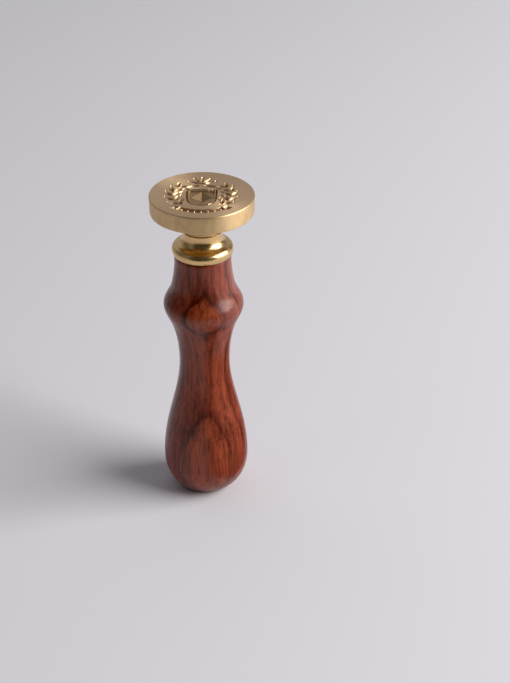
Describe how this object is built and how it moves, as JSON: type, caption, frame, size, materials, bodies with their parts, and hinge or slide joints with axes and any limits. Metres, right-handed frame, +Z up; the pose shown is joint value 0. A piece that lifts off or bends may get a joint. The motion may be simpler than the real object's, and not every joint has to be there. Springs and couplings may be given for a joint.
{
  "type": "wax seal stamp",
  "caption": "Hand stamp for sealing wax: an engraved brass seal die screwed down on a brass collar over a stud in a turned hardwood handle",
  "frame": {"origin": "centre of the handle's flat foot, which the stamp stands on", "axes": "+Z runs up the axis from the foot to the engraved face; +Y is the top of the engraved design"},
  "size_m": [0.025, 0.025, 0.0818],
  "materials": {
    "rosewood": "reddish brown hardwood with dark figure, satin lacquer",
    "zinc_steel": "bright zinc plated steel",
    "polished_brass": "mirror polished brass",
    "satin_brass": "satin turned brass with fine lathe marks and an engraved face"
  },
  "bodies": {
    "grip": {"handle": "rosewood", "threaded_stud": "zinc_steel"},
    "spacer": {"collar": "polished_brass"},
    "die": {"seal_die": "satin_brass"}
  },
  "joints": [
    {"name": "collar_lift", "type": "slide", "parent": "grip", "child": "spacer", "axis": [0, 0, 1], "range_m": [0, 0.00403]},
    {"name": "die_unscrew", "type": "hinge", "parent": "spacer", "child": "die", "pos_m": [0, 0, 0.0729], "axis": [0, 0, 1], "range_deg": [0, 1440]}
  ],
  "couplings": [
    {"joint": "collar_lift", "follows": "die_unscrew", "m_per_rad": 0.00015915}
  ]
}
